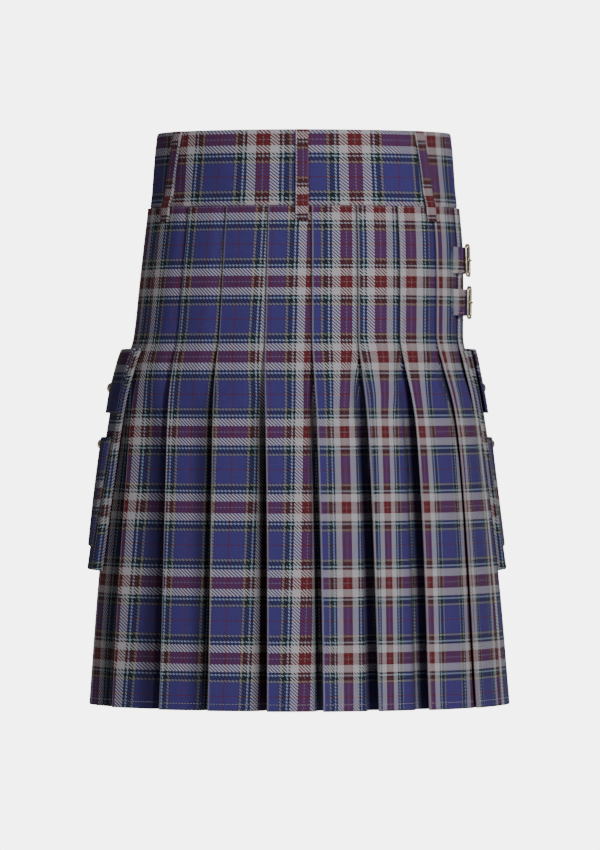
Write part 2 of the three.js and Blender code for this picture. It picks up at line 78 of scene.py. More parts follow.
world = bpy.data.worlds.new("studio")
world.use_nodes = True
backdrop = world.node_tree.nodes["Background"]
backdrop.inputs["Color"].default_value = (1, 1, 1, 1)
seen = world.node_tree.nodes.new("ShaderNodeLightPath")
strength = world.node_tree.nodes.new("ShaderNodeMapRange")
strength.inputs["To Min"].default_value = SOFT_DAYLIGHT
strength.inputs["To Max"].default_value = WHITE_BACKDROP
world.node_tree.links.new(seen.outputs["Is Camera Ray"], strength.inputs["Value"])
world.node_tree.links.new(strength.outputs["Result"], backdrop.inputs["Strength"])
bpy.context.scene.world = world


def studio_paper():
    material = bpy.data.materials.new("studio_paper")
    material.use_nodes = True
    surface = material.node_tree.nodes["Principled BSDF"]
    surface.inputs["Base Color"].default_value = (0.8, 0.8, 0.8, 1)
    surface.inputs["Roughness"].default_value = 0.9
    return material


bpy.ops.mesh.primitive_circle_add(vertices=64, radius=FLOOR_RADIUS, fill_type="NGON")
floor = bpy.context.object
floor.name = "studio_floor"
floor.location.z = FLOOR
floor.data.materials.append(studio_paper())


# The waistband: two plies of the tartan, 80 mm deep, wrapped once and a half round the waist.
# Its three lengths are joined at the sides and it is sewn along its foot to the pleats and aprons.
# The sett is woven wider across than down, as on the real band.
WAIST_TOP = 0.040
WAIST_FOOT = -0.040
WAIST_CLOTH = 0.0020
BAND_JOIN = 100
OVER_EDGE = -239
UNDER_EDGE = 215
SEAM_GAP = 0.0003
THREAD = 0.5636e-3
BAND_THREAD_ACROSS = 0.696e-3
BAND_BLUE_PIVOT = 0.0076
BAND_RED_PIVOT_Z = 0.0293
FULL_SETT = 140
SHARP_EDGE = 50
BAND_JOIN_GAP = 0.12
BAND_OVER = {"step": 0.0010, "from": 105, "over": 30}
BAND_UNDER = {"step": 0.0028, "from": BAND_JOIN, "over": 35}
TOP_TURN = 0.0009
TOP_TURN_HEIGHT = 0.0022
BAND_EASING = 0.0004
BAND_EASING_HEIGHT = 0.02
BAND_SETT_START = 0.05
BAND_STEP = 1.2


def table(columns, rows):
    return [dict(zip(columns, row)) for row in rows]


# Inside of the garment at each height: half widths to the left and right, depths to back and front.
BODY_FORM = table(("z", "left", "right", "back", "front"), [
    (0.040, 0.1533, 0.1576, 0.115, 0.112),
    (-0.040, 0.1608, 0.1646, 0.119, 0.116),
    (-0.085, 0.1660, 0.1682, 0.124, 0.119),
    (-0.125, 0.1704, 0.1689, 0.129, 0.122),
    (-0.175, 0.1758, 0.1686, 0.133, 0.127),
    (-0.205, 0.1820, 0.1720, 0.137, 0.131),
    (-0.245, 0.1888, 0.1784, 0.141, 0.136),
    (-0.300, 0.1938, 0.1846, 0.144, 0.141),
    (-0.450, 0.2077, 0.2002, 0.150, 0.152),
    (-0.570, 0.2162, 0.2100, 0.154, 0.160),
])


def mix(a, b, share):
    return a + (b - a) * share


def smooth(share):
    share = np.clip(share, 0, 1)
    return share * share * (3 - 2 * share)


def column(table, key, z):
    """One column of a table at height z, along a smooth curve that never overshoots."""
    heights = [row["z"] for row in table]
    values = [row[key] for row in table]
    if z >= heights[0]:
        return values[0]
    if z <= heights[-1]:
        return values[-1]
    slopes = [(values[k + 1] - values[k]) / (heights[k + 1] - heights[k]) for k in range(len(values) - 1)]

    def knot(k):
        if k == 0 or k == len(values) - 1:
            return slopes[min(k, len(slopes) - 1)]
        before, after = slopes[k - 1], slopes[k]
        return 0 if before * after <= 0 else 2 * before * after / (before + after)

    i = 0
    while z < heights[i + 1]:
        i += 1
    span = heights[i + 1] - heights[i]
    t = (z - heights[i]) / span
    start = values[i] * (1 + 2 * t) * (1 - t) ** 2 + knot(i) * span * t * (1 - t) ** 2
    return start + values[i + 1] * t * t * (3 - 2 * t) + knot(i + 1) * span * t * t * (t - 1)


def place(angle, z, out):
    """Points at angles round the body, 0 at the middle of the back, at one height and a distance out."""
    turn = np.radians(np.asarray(angle, float))
    half_width = np.where(np.sin(turn) < 0, column(BODY_FORM, "left", z), column(BODY_FORM, "right", z))
    half_depth = np.where(np.cos(turn) > 0, column(BODY_FORM, "back", z), column(BODY_FORM, "front", z))
    x = (half_width + out) * np.sin(turn)
    y = -(half_depth + out) * np.cos(turn)
    return np.stack([x, y, np.full_like(x, z)], axis=-1)


def metres_per_degree(angle, z):
    ends = place(np.array([angle - 0.5, angle + 0.5]), z, 0)
    return float(np.linalg.norm(ends[1] - ends[0]))


def arc_lengths(points):
    steps = np.linalg.norm(np.diff(points, axis=0), axis=1)
    return np.concatenate([[0], np.cumsum(steps)])


def unit(ways):
    return ways / np.linalg.norm(ways, axis=-1, keepdims=True)


def thread_row(across, down):
    """Thread numbers along one row of points: warp across the cloth, and weft down it in metres."""
    return np.stack([across, np.zeros(len(across)) + down / THREAD + FULL_SETT / 2], axis=1)


def add_piece(name, points, faces, material):
    mesh = bpy.data.meshes.new(name)
    mesh.from_pydata(points, [], faces)
    mesh.materials.append(material)
    mesh.polygons.foreach_set("use_smooth", np.ones(len(faces), dtype=bool))
    mesh.update()
    piece = bpy.data.objects.new(name, mesh)
    bpy.context.scene.collection.objects.link(piece)
    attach(piece, "root")
    return piece


def cloth_mesh(name, face, threads, thickness, painted_light=0):
    """A thin closed wall of cloth behind a grid of points, with its thread numbers as a UV map.
    Where its painted light value is above 0 the yarns get a painted highlight, and below 0 painted shade,
    as down in a fold."""
    face, threads = np.array(face), np.array(threads)
    rows, columns = face.shape[:2]
    back = face - unit(np.cross(np.gradient(face, axis=0), np.gradient(face, axis=1))) * thickness
    points = np.concatenate([face.reshape(-1, 3), back.reshape(-1, 3)])
    grid = np.arange(rows * columns).reshape(rows, columns)
    behind = grid + rows * columns
    a, b, c, d = grid[:-1, :-1], grid[1:, :-1], grid[1:, 1:], grid[:-1, 1:]
    e, f, g, h = behind[:-1, :-1], behind[1:, :-1], behind[1:, 1:], behind[:-1, 1:]
    sheets = [
        (a, b, c, d),
        (e, h, g, f),
        (grid[:-1, 0], behind[:-1, 0], behind[1:, 0], grid[1:, 0]),
        (grid[:-1, -1], grid[1:, -1], behind[1:, -1], behind[:-1, -1]),
        (grid[0, :-1], grid[0, 1:], behind[0, 1:], behind[0, :-1]),
        (grid[-1, :-1], behind[-1, :-1], behind[-1, 1:], grid[-1, 1:]),
    ]
    quads = np.concatenate([np.stack(corners, axis=-1).reshape(-1, 4) for corners in sheets])
    piece = add_piece(name, points.tolist(), quads.tolist(), tartan)
    mesh = piece.data
    mesh.uv_layers.new(name="threads")
    both = np.concatenate([threads.reshape(-1, 2)] * 2)
    mesh.uv_layers["threads"].uv.foreach_set("vector", both[quads.ravel()].astype(np.float32).ravel())
    painted_light_values = mesh.attributes.new("painted_light", "FLOAT", "POINT")
    amount = np.zeros((rows, columns)) + np.array(painted_light)
    painted_light_values.data.foreach_set("value", np.concatenate([amount.ravel()] * 2).astype(np.float32))
    mesh.set_sharp_from_angle(angle=math.radians(SHARP_EDGE))
    return piece


def wire(tree, kind, settings=None, **inputs):
    """A shader node with its settings, and numbers or sockets on its inputs."""
    node = tree.nodes.new(kind)
    for key, value in (settings or {}).items():
        setattr(node, key, value)
    for key, value in inputs.items():
        socket = node.inputs[int(key[1:])] if key[0] == "i" and key[1:].isdigit() else node.inputs[key]
        if isinstance(value, bpy.types.NodeSocket):
            tree.links.new(value, socket)
        else:
            socket.default_value = value
    return node


def sums(tree, operation, *values):
    """The result of a sum worked out in the shader, as a socket."""
    inputs = {"i" + str(k): value for k, value in enumerate(values)}
    return wire(tree, "ShaderNodeMath", {"operation": operation}, **inputs).outputs[0]


# The sett's yarns, and half the sett in threads, from the red line in the middle of the blue to the
# lilac line in the middle of the red. The other half mirrors it, and warp and weft have the same.
YARN = {
    "blue": (0.052, 0.041, 0.178, 1),
    "red": (0.125, 0.018, 0.022, 1),
    "white": (0.450, 0.425, 0.450, 1),
    "olive": (0.200, 0.190, 0.165, 1),
    "bottle": (0.012, 0.020, 0.028, 1),
    "sky": (0.255, 0.340, 0.410, 1),
    "lilac": (0.180, 0.110, 0.140, 1),
}
HALF_SETT = [
    ("red", 1), ("blue", 24), ("bottle", 1), ("olive", 4), ("bottle", 8), ("sky", 3), ("bottle", 4),
    ("white", 14), ("red", 10), ("lilac", 1),
]
TWILL_GRAIN = 1.55
YARN_UNEVEN = 0.5
YARN_UNEVEN_SCALE = 0.9
YARN_UNEVEN_ALONG = 0.06
TWILL_STEPS = 4.0
TWILL_OVER = 1.5
BETWEEN_YARNS = 0.55
# The painted highlight's pale colour, and the most of it that a point can take.
PAINTED_HIGHLIGHT_COLOUR = (0.42, 0.40, 0.42, 1)
PAINTED_HIGHLIGHT_AT_MOST = 0.45


def tartan_twill():
    """Warp and weft in the sett's colours, two over and two under, one step further on each row."""
    material = bpy.data.materials.new("tartan_twill")
    material.use_nodes = True
    tree = material.node_tree
    surface = tree.nodes["Principled BSDF"]

    def work_out(operation, *values):
        return sums(tree, operation, *values)

    def times(a, b):
        return work_out("MULTIPLY", a, b)

    def yarn_colour(number):
        folded = work_out("PINGPONG", work_out("ADD", number, 0.5), FULL_SETT / 2)
        ramp = wire(tree, "ShaderNodeValToRGB", Fac=work_out("DIVIDE", folded, FULL_SETT / 2))
        ramp.color_ramp.interpolation = "CONSTANT"
        stops = ramp.color_ramp.elements
        stops.remove(stops[1])
        reached = 0
        for k, (yarn, count) in enumerate(HALF_SETT):
            stop = stops[0] if k == 0 else stops.new(reached / (FULL_SETT / 2))
            stop.color = YARN[yarn]
            reached += count
        return ramp.outputs["Color"]

    def uneven(number, other):
        """Each yarn is a little lighter or darker than the next, and varies along its length."""
        spot = wire(tree, "ShaderNodeCombineXYZ", X=number, Y=times(other, YARN_UNEVEN_ALONG)).outputs[0]
        noise = wire(tree, "ShaderNodeTexNoise", Vector=spot, Scale=YARN_UNEVEN_SCALE, Detail=1.0)
        return work_out("MULTIPLY_ADD", noise.outputs["Fac"], YARN_UNEVEN, 1 - YARN_UNEVEN / 2)

    def round_yarn(position):
        across = work_out("SUBTRACT", work_out("FRACT", position), 0.5)
        return work_out("SUBTRACT", 1.0, times(times(across, across), 4.0))

    threads = wire(tree, "ShaderNodeUVMap", {"uv_map": "threads"}).outputs["UV"]
    split = wire(tree, "ShaderNodeSeparateXYZ", Vector=threads)
    warp_at, weft_at = split.outputs["X"], split.outputs["Y"]
    warp = work_out("FLOOR", warp_at)
    weft = work_out("FLOOR", weft_at)
    warp_grain = work_out("DIVIDE", warp_at, TWILL_GRAIN)
    weft_grain = work_out("DIVIDE", weft_at, TWILL_GRAIN)
    steps = work_out("SUBTRACT", work_out("FLOOR", warp_grain), work_out("FLOOR", weft_grain))
    warp_on_top = work_out("LESS_THAN", work_out("FLOORED_MODULO", steps, TWILL_STEPS), TWILL_OVER)
    weft_on_top = work_out("SUBTRACT", 1.0, warp_on_top)
    woven = wire(
        tree, "ShaderNodeMix", {"data_type": "RGBA"},
        Factor=warp_on_top, i6=yarn_colour(weft), i7=yarn_colour(warp),
    ).outputs[2]

    def on_top(of_warp, of_weft):
        return work_out("ADD", times(of_warp, warp_on_top), times(of_weft, weft_on_top))

    shade = on_top(uneven(warp, weft_at), uneven(weft, warp_at))
    height = on_top(round_yarn(warp_grain), round_yarn(weft_grain))
    # Painted shade between yarns: the colour falls to BETWEEN_YARNS of itself at the gaps, where one yarn
    # shades the next.
    dip = work_out("MULTIPLY_ADD", height, 1 - BETWEEN_YARNS, BETWEEN_YARNS)
    # Painted light read from each point: above 0 a painted highlight mixed toward a pale grey, below 0
    # painted shade that darkens the colour.
    painted_light = wire(tree, "ShaderNodeAttribute", {"attribute_name": "painted_light"}).outputs["Fac"]
    painted_shade = work_out("ADD", work_out("MINIMUM", painted_light, 0.0), 1.0)
    painted_highlight = times(work_out("MAXIMUM", painted_light, 0.0), PAINTED_HIGHLIGHT_AT_MOST)
    with_painted_highlight = wire(tree, "ShaderNodeMix", {"data_type": "RGBA"}, Factor=painted_highlight, i6=woven, i7=PAINTED_HIGHLIGHT_COLOUR).outputs[2]
    colour = wire(
        tree, "ShaderNodeVectorMath", {"operation": "SCALE"},
        i0=with_painted_highlight, Scale=times(times(shade, dip), painted_shade),
    ).outputs[0]
    tree.links.new(colour, surface.inputs["Base Color"])
    bump = wire(tree, "ShaderNodeBump", Strength=0.5, Distance=0.00012, Height=height)
    tree.links.new(bump.outputs[0], surface.inputs["Normal"])
    surface.inputs["Roughness"].default_value = 0.85
    surface.inputs["Specular IOR Level"].default_value = 0.12
    surface.inputs["Sheen Weight"].default_value = 0.03
    surface.inputs["Sheen Roughness"].default_value = 0.5
    return material


tartan = tartan_twill()


def stepped(wrap, angle):
    """How far a wrapped end has moved out or in at an angle, to clear the one that it lies on."""
    return wrap["step"] * smooth((angle - wrap["from"]) / wrap["over"])


def over_band_out(angle):
    return WAIST_CLOTH / 2 + stepped(BAND_OVER, -angle)


def under_band_out(angle):
    return WAIST_CLOTH / 2 - stepped(BAND_UNDER, angle)


def waistband_length(name, start, end, out_at):
    angles = np.linspace(start, end, int(abs(end - start) / BAND_STEP))
    across = arc_lengths(place(angles, 0.0, 0.0))
    across -= np.interp(0, angles, across) if start < 0 < end else across[0] - BAND_SETT_START
    face, threads = [], []
    for z in np.linspace(WAIST_TOP, WAIST_FOOT, 33):
        edge = min(WAIST_TOP - z, z - WAIST_FOOT)
        turned = TOP_TURN * (1 - smooth(edge / TOP_TURN_HEIGHT))
        easing = BAND_EASING * np.sin(angles * 0.35 + z * 60) * smooth(edge / BAND_EASING_HEIGHT)
        face.append(place(angles, z, out_at(angles) + WAIST_CLOTH / 2 - turned + easing))
        threads.append(thread_row((across - BAND_BLUE_PIVOT) / BAND_THREAD_ACROSS, BAND_RED_PIVOT_Z - z))
    return cloth_mesh(name, face, threads, WAIST_CLOTH - 0.0003)


WAIST_LENGTHS = [
    ("waistband_back", -BAND_JOIN, BAND_JOIN, lambda angle: 0 * angle + WAIST_CLOTH / 2),
    ("waistband_over_apron", OVER_EDGE, -BAND_JOIN - BAND_JOIN_GAP, over_band_out),
    ("waistband_under_apron", BAND_JOIN + BAND_JOIN_GAP, UNDER_EDGE, under_band_out),
]
for name, start, end, out_at in WAIST_LENGTHS:
    band = waistband_length("shown_" + name, start, end, out_at)
    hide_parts(name)
    length = float(arc_lengths(place(np.linspace(start, end, 200), 0.0, 0.0))[-1])


# The pleats: one wide cloth laid in knife pleats round the back and hips, every fold turned to
# the wearer's left. They are stitched down to the hip and hang free from there to the hem.
RELEASE = -0.180
HEM = -0.570
PLY = 0.0012
PLY_STEP = 0.0016
INNER_PLY = PLY / 2
HIDDEN_DEPTH_TOP = 0.025
HIDDEN_DEPTH_HEM = 0.021
SETT_THREAD_ACROSS = 0.6228e-3
CLOTH_PER_PLEAT = 0.0990
FIRST_FOLD_CLOTH = -0.1508
PLEAT_RED_PIVOT_Z = -0.0416

# One row for each fold, from the wearer's left. Stitched and hem are its angles at the two ends, and
# swing is how far it strays between them. Lift is how far it stands out past the others. Ease is the
# cloth in a metre across its panel. High and low move the sett along the cloth, in metres. Slant is
# how much of the lift its panel loses on the way to the next fold, sink how far the plies behind the
# fold hang in, flat the share of the panel where it turns in, and the last two columns the share of
# the panel where its painted shade comes in and how dark that painted shade is.
FOLDS = table((
    "stitched", "hem", "swing", "lift", "ease", "high", "low", "slant", "sink", "flat", "dim_at", "dim",
), [
    (-100, -100, 0, 0, 1.0, 0, 0, 0.25, 0, 0.76, 0.2, 0.3),
    (-82.5, -81, 0, 0, 0.85, -0.004, -0.005, 0.6, 0.006, 0.76, 0.45, 0.6),
    (-65.5, -61, 0, 0.0008, 0.8, -0.0035, 0, 0.8, 0.009, 0.76, 0.55, 0.6),
    (-46.5, -40.9, 0, 0, 1.05, -0.0025, 0.001, 0.8, 0.010, 0.74, 0.62, 0.6),
    (-28.9, -25.6, 0, -0.0008, 1.0, -0.006, 0, 0.7, 0.010, 0.70, 0.75, 0.8),
    (-12.3, -9.1, 0.4, 0.0004, 1.06, -0.001, 0.008, 0.55, 0.010, 0.78, 0.84, 0.35),
    (3.6, 5.8, 0.4, 0.0008, 1.34, -0.0025, 0.0005, 0.5, 0.010, 0.74, 0.82, 0.45),
    (20.2, 21.3, 0.6, 0, 1.66, -0.008, 0.003, 0.5, 0.010, 0.70, 0.70, 0.3),
    (37.2, 36.8, 1.5, 0.0016, 1.5, 0.004, 0.009, 0.2, 0.006, 0.92, 0.7, 0.15),
    (56.4, 56, 2.6, 0.0008, 1.75, 0, 0.006, 0.1, -0.006, 0.92, 0.7, 0.15),
    (76.5, 74.5, 0.8, 0, 1.5, 0, 0.004, 0.1, -0.006, 0.92, 0.7, 0.2),
    (94, 94, 0, 0, 1.0, 0, 0, 0.2, 0, 0.76, 0.8, 0.3),
    (112, 112, 0, 0, 1.0, 0, 0, 0.2, 0, 0.76, 0.8, 0.3),
])

FOLD_LIFT = table(("z", "out"), [
    (-0.040, INNER_PLY + 2 * PLY_STEP),
    (-0.180, INNER_PLY + 2 * PLY_STEP),
    (-0.205, 0.0066),
    (-0.245, 0.0096),
    (-0.300, 0.0116),
    (-0.450, 0.0126),
    (-0.570, 0.0130),
])
OPEN_OVER = 0.130
EASE_OVER = 0.090
DEPTH_OVER = 0.200
JOIN_SHARE = 0.5
SHIFTED_HIGH = 0.240
SPREAD_EARLY = 1.6
SWING_PEAK = 0.24
TURN_IN_END = 0.97
TURN_IN_ROOM = 0.004
PANEL_SHARES = np.concatenate([np.linspace(0.03, 0.7, 10), np.linspace(0.74, 0.98, 14)])
# Painted shade on the plies hidden behind each fold.
PAINTED_FOLD_SHADE = 0.62
# Painted shade just before the next fold's edge: how dark, where it starts and how far it takes; and how
# far a panel's painted shade takes to come in.
PAINTED_EDGE_SHADE = 0.35
PAINTED_EDGE_SHADE_FROM = 0.92
PAINTED_EDGE_SHADE_REACH = 0.06
PAINTED_SHADE_REACH = 0.32
FOLD_ROLL = 0.0012


def opened(z):
    return float(smooth((RELEASE - z) / OPEN_OVER))


def fold_angle(fold, z):
    share = max(0.0, (RELEASE - z) / (RELEASE - HEM))
    back = float(smooth((share - SWING_PEAK) / (1 - SWING_PEAK)))
    swing = fold["swing"] * float(smooth(share / SWING_PEAK)) * (1 - back)
    return mix(fold["stitched"], fold["hem"], 1 - (1 - share) ** SPREAD_EARLY) + swing


def sett_shift(z, fold):
    """How far the sett lies moved along the cloth at a fold, from where the pleats fall free."""
    return float(np.interp(-z, (-RELEASE, SHIFTED_HIGH, -HEM), (0, fold["high"], fold["low"])))


def panel_ease(z, fold):
    """Cloth in a free panel for each metre straight across it, since it hangs at a slant."""
    return mix(1.0, fold["ease"], float(smooth((RELEASE - z) / EASE_OVER)))


def inner_out(index, z):
    """Where the plies hidden behind a fold lie. They hang deeper inside where the cloth is free."""
    return INNER_PLY - FOLDS[index]["sink"] * opened(z)


def hidden_depth(z):
    return mix(HIDDEN_DEPTH_TOP, HIDDEN_DEPTH_HEM, float(smooth((RELEASE - z) / DEPTH_OVER)))


def fold_lift(z, fold=None):
    extra = fold["lift"] * opened(z) if fold else 0
    return column(FOLD_LIFT, "out", z) + extra


# Soft creases where the cloth hangs free: angle at the top and foot, where each starts and ends,
# how far it stands out or in, and half its width in degrees. The pleats have small ones.
CREASES = table(("top_angle", "foot_angle", "top", "foot", "out", "half_width"), [
    (-76, -72, -0.26, -0.52, 0.0016, 7),
    (-52, -50, -0.24, -0.50, -0.0013, 6),
    (-34, -33, -0.33, -0.60, 0.0014, 5),
    (-19, -17, -0.27, -0.47, -0.0012, 6),
    (-3, -1, -0.36, -0.62, 0.0015, 5),
    (12, 15, -0.25, -0.44, 0.0011, 5),
    (29, 30, -0.31, -0.60, -0.0014, 6),
    (47, 47, -0.24, -0.53, 0.0017, 6),
    (66, 66, -0.29, -0.58, -0.0012, 7),
    (104, 107, -0.27, -0.60, 0.0016, 8),
    (-231, -229, -0.20, -0.56, 0.0026, 6),
    (-215, -219, -0.24, -0.61, -0.0034, 9),
    (-199, -196, -0.17, -0.59, 0.0044, 10),
    (-181, -184, -0.28, -0.62, -0.0038, 9),
    (-166, -162, -0.19, -0.50, 0.0030, 8),
    (-149, -150, -0.23, -0.61, 0.0046, 10),
    (-133, -136, -0.26, -0.58, -0.0036, 8),
    (-117, -114, -0.30, -0.60, 0.0026, 7),
])


CREASE_STRAY = 1.5
CREASE_FADE_IN = 0.4
CREASE_FADE_OUT = {"from": 0.85, "over": 0.35}


def creased(angles, z):
    """How far soft creases move the cloth out or in at one height."""
    angles = np.asarray(angles, float)
    moved = np.zeros_like(angles)
    for crease in CREASES:
        share = (crease["top"] - z) / (crease["top"] - crease["foot"])
        if share <= 0 or share >= sum(CREASE_FADE_OUT.values()):
            continue
        middle = mix(crease["top_angle"], crease["foot_angle"], share)
        middle += CREASE_STRAY * math.sin(3 * share + crease["top_angle"])
        faded = smooth((share - CREASE_FADE_OUT["from"]) / CREASE_FADE_OUT["over"])
        fade = float(smooth(share / CREASE_FADE_IN) * (1 - faded))
        reach = crease["half_width"] * (0.7 + 0.5 * share)
        moved += crease["out"] * fade * np.exp(-((angles - middle) / reach) ** 2)
    return moved


def pleat_panel(index, z):
    """Angles and distances out of one panel, from its fold edge to its hidden fold."""
    start = fold_angle(FOLDS[index], z)
    following = fold_angle(FOLDS[index + 1], z)
    degree = 1 / metres_per_degree(start, z)
    flat_share = (hidden_depth(z) + TURN_IN_ROOM) * degree / (following - start)
    flat = mix(flat_share, FOLDS[index]["flat"], opened(z))
    lift = fold_lift(z, FOLDS[index])
    out = mix(lift, INNER_PLY, FOLDS[index]["slant"] * opened(z) * PANEL_SHARES)
    out = mix(out, inner_out(index + 1, z), smooth((PANEL_SHARES - flat) / (TURN_IN_END - flat)))
    return mix(start, following, PANEL_SHARES), out


def at_fold(index, z):
    """A fold's angle, degrees in a metre there, the depth behind it, and its place along the cloth."""
    fold = fold_angle(FOLDS[index], z)
    along = FIRST_FOLD_CLOTH + index * CLOTH_PER_PLEAT + sett_shift(z, FOLDS[index])
    return fold, 1 / metres_per_degree(fold, z), hidden_depth(z), along


def rolled_over(turns):
    """Round a folded edge: each turn, how far back from the edge it lies and how far it rises."""
    for turn in turns:
        back = 1 - math.sin(math.radians(turn))
        rise = 1 - math.cos(math.radians(turn))
        yield turn, back * PLY_STEP / 2, rise * PLY_STEP / 2


def pleat_line(first, last, z):
    """The cloth at one height through a run of pleats: angles, distances out, places along the cloth,
    and its painted light: a painted highlight at a fold's edge, above 0, and painted shade down in a fold,
    below 0."""
    line = []

    def put(angle, out, along, painted_light):
        line.append((angle, out, along, painted_light))

    def hidden_ply(index, shares):
        fold, degree, depth, along = at_fold(index, z)
        for share in shares:
            # Hidden plies get painted shade.
            put(fold + share * depth * degree, inner_out(index, z), along - (2 - share) * depth, -PAINTED_FOLD_SHADE)

    def return_ply(index):
        fold, degree, depth, along = at_fold(index, z)
        lift = fold_lift(z, FOLDS[index])
        inner = inner_out(index, z)
        # The return ply gets painted shade.
        for turn, back, rise in rolled_over((0, 45, 90, 135, 180)):
            put(fold + (depth - back) * degree, inner + rise, along - depth, -PAINTED_FOLD_SHADE)
        for share in (0.75, 0.5, 0.25):
            out = mix(lift, inner + 2 * PLY_STEP, share) - PLY_STEP
            put(fold + share * depth * degree, out, along - share * depth, -PAINTED_FOLD_SHADE)
        # The rolled fold edge gets a painted highlight, growing to full by the outermost turn.
        for turn, back, rise in rolled_over((0, 30, 60, 90, 120, 150, 180)):
            rolled = along + (turn - 90) / 90 * FOLD_ROLL
            put(fold + back * degree, lift - PLY_STEP + rise, rolled, min(1.0, turn / 90))

    def panel(index):
        fold, degree, depth, along = at_fold(index, z)
        angles, outs = pleat_panel(index, z)
        edge = place(np.array([fold]), z, fold_lift(z, FOLDS[index]))
        lengths = arc_lengths(np.concatenate([edge, place(angles, z, outs)]))[1:]
        # Painted shade: each panel darkens toward its end as it goes in under the next fold, and again just
        # before that fold's edge.
        painted_shade = smooth((PANEL_SHARES - FOLDS[index]["dim_at"]) / PAINTED_SHADE_REACH + 0.5)
        painted_shade_by_next_fold = smooth((PANEL_SHARES - PAINTED_EDGE_SHADE_FROM) / PAINTED_EDGE_SHADE_REACH)
        painted_shade_depths = np.maximum(FOLDS[index]["dim"] * opened(z) * painted_shade, PAINTED_EDGE_SHADE * painted_shade_by_next_fold)
        for angle, out, length, dim in zip(angles, outs, lengths, painted_shade_depths):
            put(angle, out, along + length * panel_ease(z, FOLDS[index]), -dim)

    hidden_ply(first, (JOIN_SHARE + SEAM_GAP / hidden_depth(z), 0.75))
    for index in range(first, last + 1):
        return_ply(index)
        panel(index)
        if index < last:
            hidden_ply(index + 1, (0.25, 0.5, 0.75))
        elif last < len(FOLDS) - 2:
            hidden_ply(index + 1, (0.25, JOIN_SHARE))
    return np.array(line).T


def cloth_levels(count):
    """Heights from the band's seam to the hem, closer together where the cloth hangs free."""
    stitched = np.linspace(WAIST_FOOT - SEAM_GAP, -0.178, count // 4)
    return np.concatenate([stitched, np.linspace(-0.184, HEM, count)])


def pleated_cloth(name, first, last):
    levels = cloth_levels(64)
    face, threads, painted_light_values = [], [], []
    for z in levels:
        angles, outs, cloth, painted_light = pleat_line(first, last, z)
        painted_light_values.append(painted_light)
        middle = place(angles, z, outs + creased(angles, z))
        way = np.gradient(middle, axis=0)[:, :2]
        before = unit(np.diff(middle[:, :2], axis=0))
        way[1:-1] = before[1:] + before[:-1]
        way = unit(way)
        side = np.stack([way[:, 1], -way[:, 0], np.zeros(len(way))], axis=1)
        face.append(middle + side * PLY / 2)
        threads.append(thread_row(cloth / SETT_THREAD_ACROSS, PLEAT_RED_PIVOT_Z - z))
    return cloth_mesh(name, face, threads, PLY, painted_light_values)


PLEAT_LENGTHS = [("pleats_left", 0, 3), ("pleats_back", 4, 7), ("pleats_right", 8, 11)]
for name, first, last in PLEAT_LENGTHS:
    cloth = pleated_cloth("shown_" + name, first, last)
    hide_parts(name)


# The aprons: flat ends of the same cloth. The over apron comes round the front from the wearer's
# right and runs in under the first pleat. The under apron goes on from the last pleat, inside it.
APRON_OVER = {"step": 0.0012, "from": 108, "over": 30}
APRON_UNDER = {"step": 0.0026, "from": 112, "over": 30}


def over_apron_out(angle):
    return INNER_PLY + stepped(APRON_OVER, -angle)


def under_apron_out(angle):
    return INNER_PLY - stepped(APRON_UNDER, angle)


def apron(name, ends_at, out_at, cloth_at_start):
    levels = cloth_levels(48)
    face, threads = [], []
    for z in levels:
        angles = np.linspace(*ends_at(z), 150)
        over_the_front = angles - 360 if name == "shown_under_apron" else angles
        middle = place(angles, z, out_at(angles) + PLY / 2 + creased(over_the_front, z))
        face.append(middle)
        cloth = cloth_at_start + arc_lengths(middle)
        threads.append(thread_row(cloth / SETT_THREAD_ACROSS, PLEAT_RED_PIVOT_Z - z))
    return cloth_mesh(name, face, threads, PLY)


def over_apron_ends(z):
    fold = fold_angle(FOLDS[0], z)
    return OVER_EDGE, fold + JOIN_SHARE * hidden_depth(z) / metres_per_degree(fold, z)


def under_apron_ends(z):
    before, after = fold_angle(FOLDS[-2], z), fold_angle(FOLDS[-1], z)
    return mix(before, after, PANEL_SHARES[-1]) + BAND_JOIN_GAP, UNDER_EDGE


# Each apron's ends, how far out it lies, where the sett starts on it, and its width.
APRONS = [
    ("over_apron", over_apron_ends, over_apron_out, -0.62, 0.50),
    ("under_apron", under_apron_ends, under_apron_out, 0.97, 0.36),
]
for name, ends_at, out_at, cloth_at_start, width in APRONS:
    cloth = apron("shown_" + name, ends_at, out_at, cloth_at_start)
    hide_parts(name)


# The belt loops: narrow strips of the same cloth, folded in three, cut along the red of the sett.
# Each is sewn down at the top edge of the band and again just below the band's seam.
LOOP_WIDTH = 0.013
LOOP_CLOTH = 0.0016
LOOP_FOOT = -0.056
LOOP_FOOT_LIFT = 0.0005
LOOP_SLACK = 0.0018
LOOP_SLACK_LENGTH = 0.090
LOOP_ARCH = 0.0004
LOOP_STEPS_FROM = -0.024
LOOP_STEPS_OVER = 0.016
LOOP_PAINTED_HIGHLIGHT = 0.35
LOOP_RED_PIVOT_Z = -0.0350
LOOPS = table(("name", "top", "foot", "red_at"), [
    ("back", 0, 0, 0.0012),
    ("back_left", -57.5, -60.5, -0.0012),
    ("back_right", 50.5, 53.5, 0.0008),
    ("front_left", -128, -128, 0.0),
    ("front_right", 134, 134, 0.001),
])


